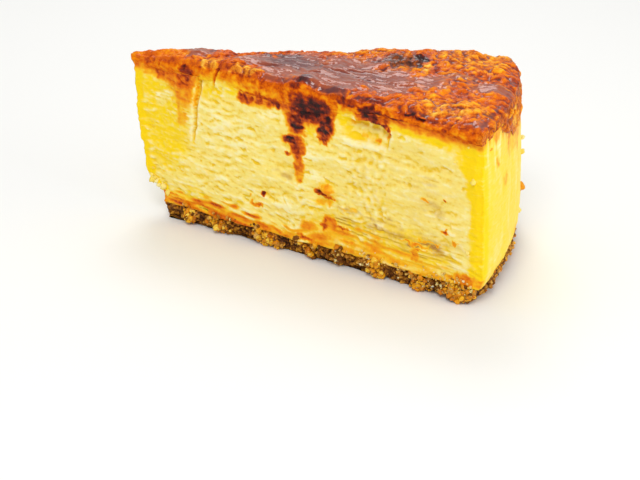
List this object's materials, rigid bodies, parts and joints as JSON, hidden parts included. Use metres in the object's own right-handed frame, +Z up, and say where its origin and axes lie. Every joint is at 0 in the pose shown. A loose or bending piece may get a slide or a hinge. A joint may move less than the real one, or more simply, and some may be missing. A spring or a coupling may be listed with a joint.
{
  "type": "baked cheesecake slice",
  "caption": "Wedge of tall baked cheesecake on a dark biscuit crumb base, under a glossy, blistered layer of burnt sugar, with a torn tip and a dragged cut face.",
  "frame": {"origin": "middle of the bounding box at its lowest height, on the surface that the slice stands on", "axes": "+X from the pointed tip to the outer side, +Y from the near cut side to the far one, +Z up"},
  "size_m": [0.1258, 0.0634, 0.0608],
  "materials": {
    "biscuit": "dry dark biscuit crumb with golden clumps and clear sugar grains",
    "filling": "moist, satin, cream to yellow baked custard",
    "burnt_sugar": "glossy amber to dark brown burnt sugar"
  },
  "bodies": {
    "root": {"biscuit_base": "biscuit", "cheese_filling": "filling", "burnt_sugar_top": "burnt_sugar"}
  },
  "joints": []
}
